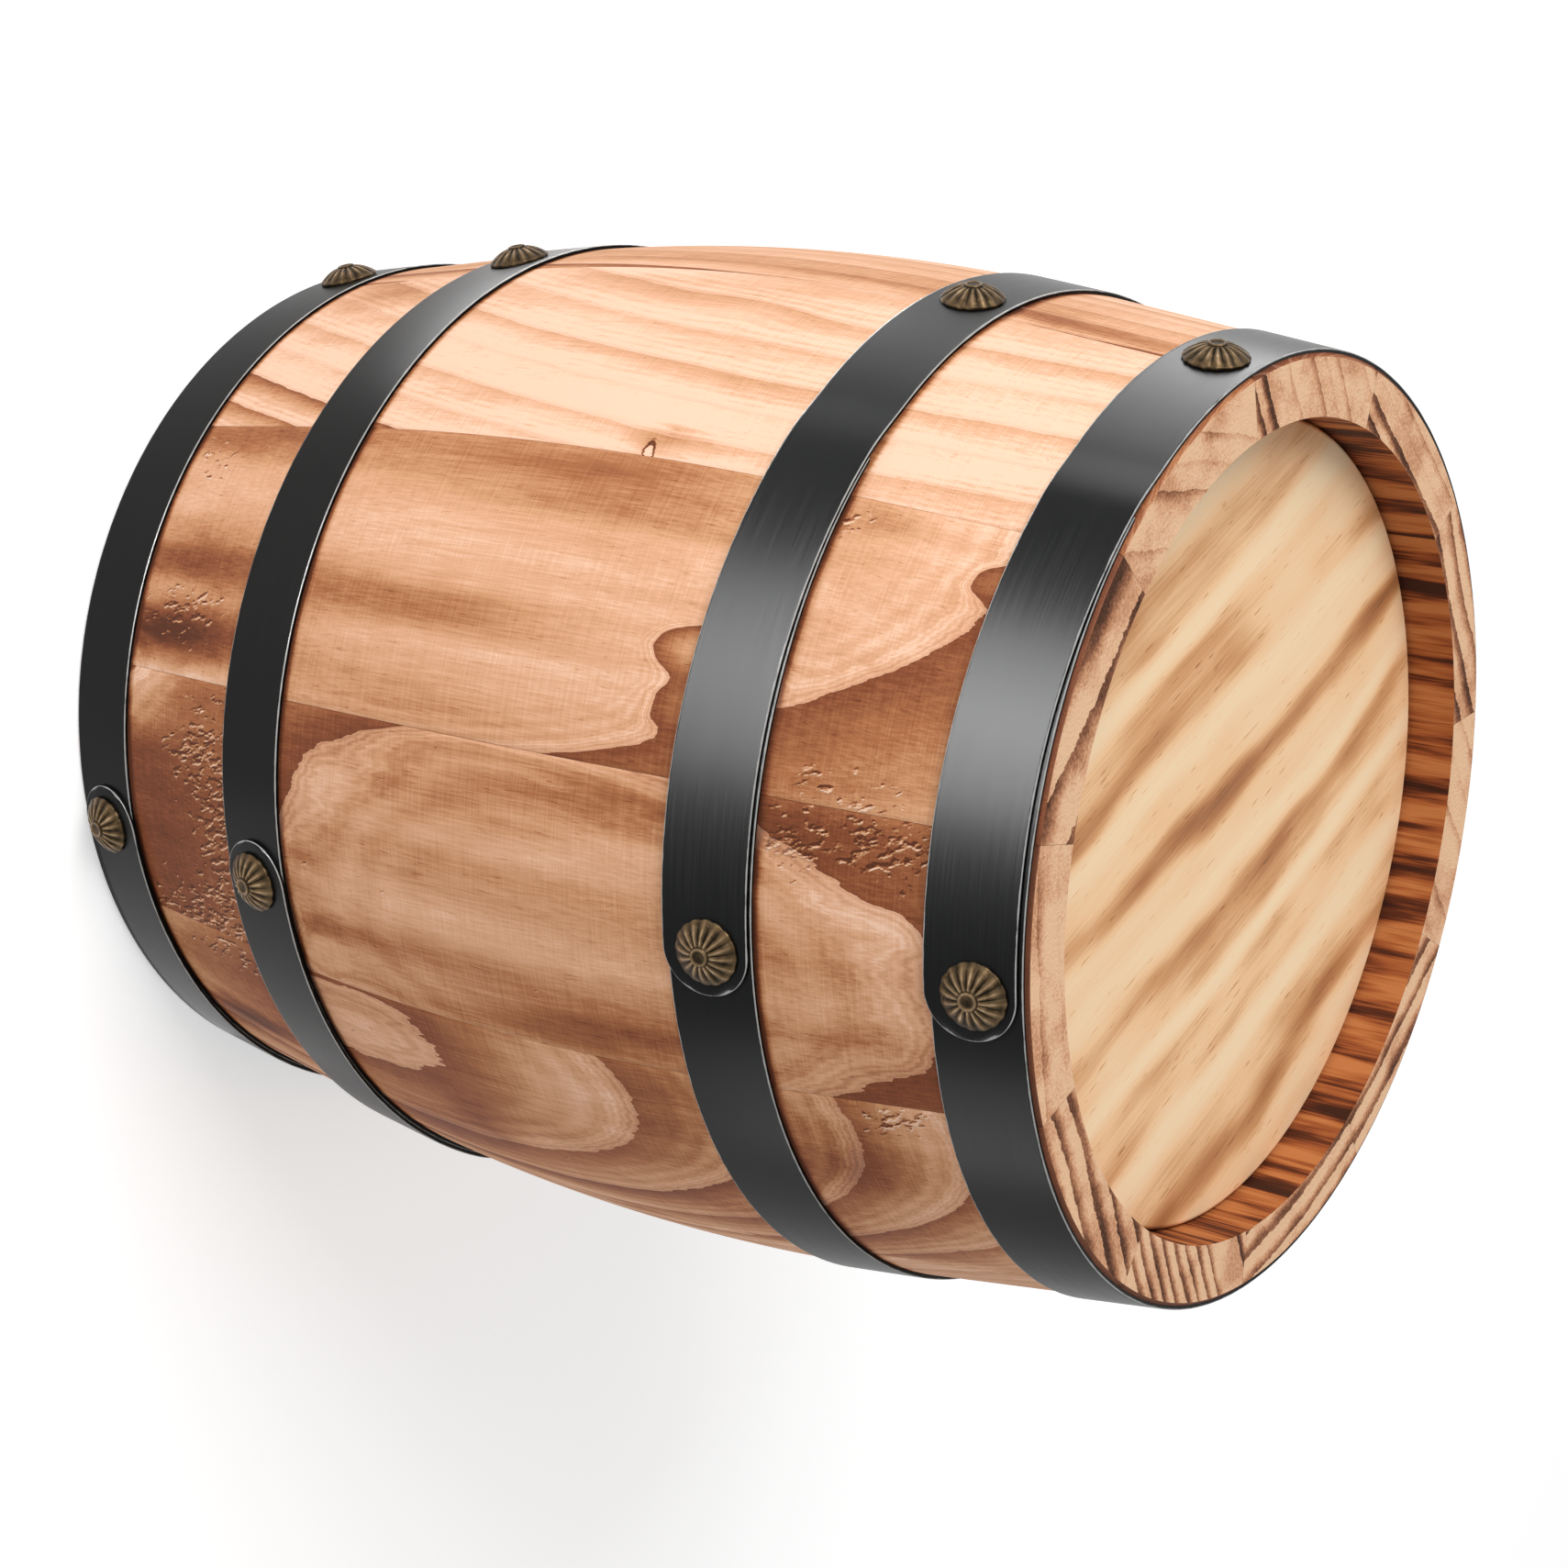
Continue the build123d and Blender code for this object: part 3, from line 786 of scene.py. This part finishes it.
def painted_strap(tree):
    """Satin black paint over steel: near black with a soft even gloss and faint scratches round
    the hoop, and scuffed to a thin matt grey line along its sheared edges."""
    edge = add_node(tree, "Attribute", attribute_name="edge").outputs["Fac"]
    place = add_node(tree, "TexCoord").outputs["Object"]
    nicks = add_node(tree, "TexNoise", {"Vector": place, "Scale": 260.0, "Detail": 3.0})
    worn = add_node(tree, "Math", (nicks, 0.9, edge), operation="MULTIPLY_ADD")
    bare = add_node(tree, "MapRange", (worn, 1.05, 1.3))
    colour = add_node(tree, "ValToRGB", (bare,), [(0.0, "#080909"), (1.0, "#A8A8A6")])
    # The scratches are 0.4 mm wide and some 20 mm long.
    place = add_node(tree, "VectorMath", (place, (50, 50, 2500)), operation="MULTIPLY")
    scratch = add_node(tree, "TexNoise", {"Vector": place, "Scale": 1.0, "Detail": 2.0})
    gloss = add_node(tree, "MapRange", (scratch, 0.4, 0.7, 0.31, 0.35))
    return {"Base Color": colour, "Roughness": gloss, "Specular IOR Level": 0.06}


def eased(share):
    """A share held between 0 and 1, and eased at both."""
    share = min(max(share, 0), 1)
    return share * share * (3 - 2 * share)


strap_material = new_material("satin_black_strap", painted_strap)
hoop_pieces = []
for hoop_name, (height, nail_turn, way, lap_shift) in hoops.items():
    radius = outside_radius(height)
    lean = outside_lean(height)
    run = [-lap_angle + place for place in steps(0, 2 * pi - ramp_angle, hoop_step)]
    ramp_start = 2 * pi - lap_angle - ramp_angle
    run += [ramp_start + place for place in steps(0, ramp_angle, ramp_step)]
    run += [2 * pi - lap_angle + place for place in steps(0, lap_angle, hoop_step)]
    tip = [half_width * sin(pi / 2 * number / tip_steps) for number in range(tip_steps)]
    tip.append(half_width * tip_end)
    columns = [(place, 0.0) for place in run] + [(2 * pi + x / radius, x) for x in tip]
    grid = []
    wear = []
    for place, past_nail in columns:
        climb = eased((place - ramp_start) / ramp_angle)
        slide = eased((place - ramp_start) / slide_angle)
        level = strap_clearance + (lap_level - strap_clearance) * climb
        reach = sqrt(half_width**2 - past_nail**2)
        outer = []
        worn = []
        for share in strap_rows:
            inset = half_width - hypot(past_nail, share * reach)
            drop = max(0, edge_round - inset)
            outer.append((level + strap_thickness - drop, share * reach + slide * lap_shift))
            worn.append(min(1, max(0, 1 - (inset - edge_round) / edge_wear)))
        inner = [(level, outer[-1][1]), (level, outer[0][1])]
        grid.append([(nail_turn + way * place, -out, up) for out, up in outer + inner])
        wear.append(worn + [-1, -1])
    if way < 0:
        grid.reverse()
        wear.reverse()
    hoop = swept_piece(hoop_name + "_strap", np.array(grid), (strap_material,))
    set_values(hoop.data, "edge", wear)
    made_plain(hoop, keg_wrap, {"Seat radius": radius, "Seat height": height, "Lean": lean})
    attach(hoop, "root")
    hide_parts(hoop_name)
    hoop_pieces.append(hoop)

# Nails
# Decorative nails with a pressed brass head: a dome of sixteen rounded petals with a raised ring at
# its middle, aged dark in the grooves and rubbed to dull yellow on top, with painted highlight on
# the petals' ridges and the ring. Four hold each hoop.
nails_per_hoop = 4
top_nail_step = radians(92)
bottom_nail_step = radians(90)
petal_count = 16
columns_per_petal = 12
shank_length = 0.013
nail_seed = 4
nail_turn_spread = radians(11)
nail_sharp_angle = radians(60)
# In millimetres: the grooves' depth, the radius from which they cut into the rim too, and by what
# share of it.
groove_depth = 0.4
scallop_start = 7
scallop = 0.03
# How rubbed the brass is, from 0 to 1, with painted highlight: on a petal's ridge over its flanks,
# less in its grooves, fading from one radius on down to a least share, the rim's own, and the
# ring's from its foot up.
petal_rub = 0.52
ridge_rub_and_highlight = 0.48
ridge_width = 0.34
groove_grime = 0.36
fade_start, fade_run, least_bright = 5.5, 3.5, 0.3
rim_start, rim_bright = 7.9, 0.4
ring_edge, ring_foot, ring_rise = 2.5, 3.5, 0.7

# The pressed head's section in millimetres as (radius, height, share of the grooves' depth), from
# its middle out to the rim, then in under it and down the shank.
nail_rows = [
    (0.5, 3.8, 0), (1.0, 3.8, 0), (1.35, 3.83, 0), (1.5, 3.92, 0), (1.62, 4.04, 0),
    (1.8, 4.1, 0), (1.98, 4.1, 0), (2.15, 4.02, 0), (2.27, 3.85, 0), (2.36, 3.62, 0.05),
    (2.55, 3.48, 0.25), (2.8, 3.52, 0.6), (3.1, 3.5, 0.85), (3.5, 3.4, 1), (4.0, 3.23, 1),
    (4.5, 3.03, 1), (5.0, 2.8, 1), (5.5, 2.53, 1), (6.0, 2.22, 0.95), (6.4, 1.96, 0.9),
    (6.8, 1.67, 0.8), (7.1, 1.43, 0.65), (7.35, 1.21, 0.5), (7.55, 1.03, 0.4), (7.75, 0.87, 0.3),
    (7.92, 0.74, 0.1), (8.0, 0.58, 0), (8.0, 0.3, 0), (7.92, 0.0, 0), (6.0, 0.0, 0), (1.2, 0.0, 0),
    (1.0, -0.2, 0), (1.0, -10.0, 0), (0.5, -11.5, 0),
]


def rubbed_and_highlit(radius, height, share, from_ridge):
    """How rubbed the nail's brass is at a place, given its distance from a petal's ridge, with
    painted highlight along the ridges and on the ring's top.
    """
    if radius <= ring_edge:
        return min(1, max(0, (height - ring_foot) / ring_rise))
    bright = min(1, max(least_bright, 1 - (radius - fade_start) / fade_run))
    bright = bright if radius < rim_start else rim_bright
    # Painted highlight along the ridge, brighter nearer the middle, as well as rubbing.
    on_petal = petal_rub + ridge_rub_and_highlight * bright * exp(-((from_ridge / ridge_width) ** 2))
    return on_petal - groove_grime * share * bright * from_ridge**6


def nail_mesh():
    """One nail, upright, with its head's underside at the origin."""
    columns = petal_count * columns_per_petal
    points = [(0, 0, nail_rows[0][1])]
    relief = [least_bright]
    for radius, height, share in nail_rows:
        for column in range(columns):
            angle = 2 * pi * column / columns
            from_ridge = abs((2 * column / columns_per_petal) % 2 - 1)
            groove = from_ridge**2
            wide = radius * (1 - scallop * groove) if radius > scallop_start else radius
            level = height - share * groove * groove_depth
            points.append((wide * cos(angle), wide * sin(angle), level))
            relief.append(rubbed_and_highlit(radius, height, share, from_ridge))
    points.append((0, 0, -shank_length * mm))
    relief.append(0)
    mesh = bpy.data.meshes.new("rosette_nail")
    # The rows run down the nail here, so its faces are turned round.
    faces = [face[::-1] for face in turned_faces(len(nail_rows), columns)]
    mesh.from_pydata((np.array(points) / mm).tolist(), [], faces)
    set_values(mesh, "relief", relief)
    mesh.shade_smooth()
    mesh.set_sharp_from_angle(angle=nail_sharp_angle)
    return mesh


def aged_brass(tree):
    """Pressed and aged brass: dark brown in the grooves, dull olive yellow and a little pink where
    it is rubbed and where highlight is painted on, with a soft uneven shine."""
    relief = add_node(tree, "Attribute", attribute_name="relief").outputs["Fac"]
    place = add_node(tree, "TexCoord").outputs["Object"]
    stain = add_node(tree, "TexNoise", {"Vector": place, "Scale": 420.0, "Detail": 3.0})
    age = add_node(tree, "Math", (stain, 0.8, relief), operation="MULTIPLY_ADD")
    light = add_node(tree, "MapRange", (age, 0.3, 1.6))
    stops = [(0.0, "#120D08"), (0.35, "#2E261C"), (0.62, "#635039"), (0.85, "#947C60")]
    colour = add_node(tree, "ValToRGB", (light,), stops + [(1.0, "#CDB698")])
    shine = add_node(tree, "MapRange", (age, 0.4, 1.5, 0.5, 0.3))
    return {"Base Color": colour, "Metallic": 1.0, "Roughness": shine}


def nailing_tree():
    """Geometry nodes that drive a nail at each point, square to the hoop and turned at random."""
    tree = bpy.data.node_groups.new("nails_along_hoop", "GeometryNodeTree")
    tree.is_modifier = True
    for name, kind in (
        ("Places", "Geometry"), ("Nail", "Object"), ("Turn spread", "Float"), ("Seed", "Int"),
        ("Finish", "Material"),
    ):
        tree.interface.new_socket(name, in_out="INPUT", socket_type="NodeSocket" + kind)
    tree.interface.new_socket("Nails", in_out="OUTPUT", socket_type="NodeSocketGeometry")
    places, nail, spread, seed, finish = add_node(tree, "NodeGroupInput").outputs[:5]
    out = add_node(
        tree, "GeometryNodeInputNamedAttribute", {"Name": "out"}, data_type="FLOAT_VECTOR"
    )
    aligned = add_node(tree, "FunctionNodeAlignRotationToVector", {"Vector": out}, axis="Z")
    spread = add_node(tree, "FunctionNodeRandomValue", {"Max": spread, "Seed": seed})
    spin = add_node(tree, "CombineXYZ", (0.0, 0.0, spread.outputs[1]))
    spun = {"Rotation": aligned, "Rotate By": spin}
    turned = add_node(tree, "FunctionNodeRotateRotation", spun, rotation_space="LOCAL")
    nail = add_node(tree, "GeometryNodeObjectInfo", {"Object": nail}).outputs["Geometry"]
    set_out = {"Points": places, "Instance": nail, "Rotation": turned}
    driven = add_node(tree, "GeometryNodeInstanceOnPoints", set_out)
    real = add_node(tree, "GeometryNodeRealizeInstances", (driven,))
    finished = add_node(tree, "GeometryNodeSetMaterial", {"Geometry": real, "Material": finish})
    add_node(tree, "NodeGroupOutput", (finished,))
    return tree


nail_pattern = bpy.data.objects.new("nail_pattern", nail_mesh())
nailing = nailing_tree()
nailing_inputs = {
    "Nail": nail_pattern,
    "Turn spread": nail_turn_spread,
    "Seed": nail_seed,
    "Finish": new_material("aged_pressed_brass", aged_brass),
}
for hoop_name, (height, nail_turn, way, _) in hoops.items():
    nail_step = top_nail_step if way > 0 else bottom_nail_step
    lean = outside_lean(height)
    places = []
    normals = []
    for number in range(nails_per_hoop):
        turn = nail_turn + number * nail_step
        seat = lap_level + strap_thickness if number == 0 else strap_seat
        out = Vector((sin(turn) * cos(lean), -cos(turn) * cos(lean), sin(lean)))
        foot = Vector((sin(turn), -cos(turn), 0)) * outside_radius(height)
        places.append(foot + Vector((0, 0, height)) + out * seat)
        normals += list(out)
    mesh = bpy.data.meshes.new(hoop_name + "_nail_places")
    mesh.from_pydata(places, [], [])
    set_values(mesh, "out", normals, "FLOAT_VECTOR")
    nail_name = hoop_name.replace("hoop", "nail")
    nails = bpy.data.objects.new(nail_name + "s_brass", mesh)
    scene.collection.objects.link(nails)
    made_plain(nails, nailing, nailing_inputs)
    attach(nails, "root")
    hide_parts(*[f"{nail_name}_{number + 1}" for number in range(nails_per_hoop)])
bpy.data.objects.remove(nail_pattern)

# Floor and studio
# A seamless white floor that keeps the keg's soft shadow, under an even pale world. A tall soft box
# stands low at the near left and a broad one hangs over the far left. Five more, at the near left
# and right, behind and on the floor on both sides, are mirrored by the hoops only.
world_level = 0.47
floor_half = 6.0
floor_lift = 0.4
# Each box's place and the place it points at, its size in metres and its power in watts. The hoops
# alone mirror those that are named for a glint.
boxes = [
    ("near_soft_box", (-0.34649, -0.51355, 0.12), (0, 0, 0.12), (0.22, 0.34), 0.2),
    ("glint_box", (-0.34649, -0.51355, 0.12), (0, 0, 0.12), (0.22, 0.34), 90.0),
    ("low_glint_box", (0.16, -0.18, 0.004), (0.16, -0.18, 1.004), (0.30, 0.20), 0.1),
    ("back_glint_box", (-0.62, 0.38, 0.05), (0, 0, 0.2), (0.70, 0.40), 13.0),
    ("far_glint_box", (-0.27, 0.08, 0.004), (-0.27, 0.08, 1.004), (0.18, 0.30), 3.5),
    ("side_glint_box", (0.48, -0.39, 0.11), (0, 0, 0.14), (0.30, 0.34), 2.0),
    ("over_soft_box", (-1.9, -0.5, 1.7), (0, 0, 0.15), (1.6, 1.6), 42.0),
]


def seen_in_picture(tree):
    """1 for what the camera sees, directly, mirrored or through glass, and 0 for what lights."""
    ray = add_node(tree, "LightPath").outputs
    seen = ray["Is Camera Ray"]
    for kind in ("Is Glossy Ray", "Is Transmission Ray"):
        seen = add_node(tree, "Math", (seen, ray[kind]), operation="MAXIMUM")
    return seen


def paper_floor(tree):
    """Matt white paper, lit up a little for the camera so that it shows as white."""
    lift = (seen_in_picture(tree), floor_lift)
    return {
        "Base Color": linear("#FAFAFA"),
        "Roughness": 0.95,
        "Specular IOR Level": 0.0,
        "Emission Color": (1, 1, 1, 1),
        "Emission Strength": add_node(tree, "Math", lift, operation="MULTIPLY"),
    }


world = bpy.data.worlds.new("studio")
world.use_nodes = True
tree = world.node_tree
tree.nodes.clear()
level = add_node(tree, "MapRange", (seen_in_picture(tree), 0.0, 1.0, world_level, 1.0))
light = add_node(tree, "Background", {"Color": (1, 1, 1, 1), "Strength": level})
add_node(tree, "OutputWorld", {"Surface": light})
scene.world = world
scene.view_settings.view_transform = "Standard"

floor_mesh = bpy.data.meshes.new("floor")
corners = [(-1, -1, 0), (1, -1, 0), (1, 1, 0), (-1, 1, 0)]
floor_mesh.from_pydata([Vector(corner) * floor_half for corner in corners], [], [range(4)])
floor_mesh.materials.append(new_material("white_paper_floor", paper_floor))
floor = bpy.data.objects.new("floor", floor_mesh)
scene.collection.objects.link(floor)

mirrored_in = bpy.data.collections.new("hoops_that_mirror_the_glint")
for hoop in hoop_pieces:
    mirrored_in.objects.link(hoop)
for name, place, aim, size, power in boxes:
    lamp = bpy.data.lights.new(name, "AREA")
    lamp.shape = "RECTANGLE"
    lamp.size, lamp.size_y = size
    lamp.energy = power
    box = bpy.data.objects.new(name, lamp)
    turn = (Vector(place) - Vector(aim)).to_track_quat("Z", "Y")
    box.matrix_world = Matrix.Translation(place) @ turn.to_matrix().to_4x4()
    box.visible_camera = False
    scene.collection.objects.link(box)
    if "glint" in name:
        box.visible_diffuse = False
        box.light_linking.receiver_collection = mirrored_in
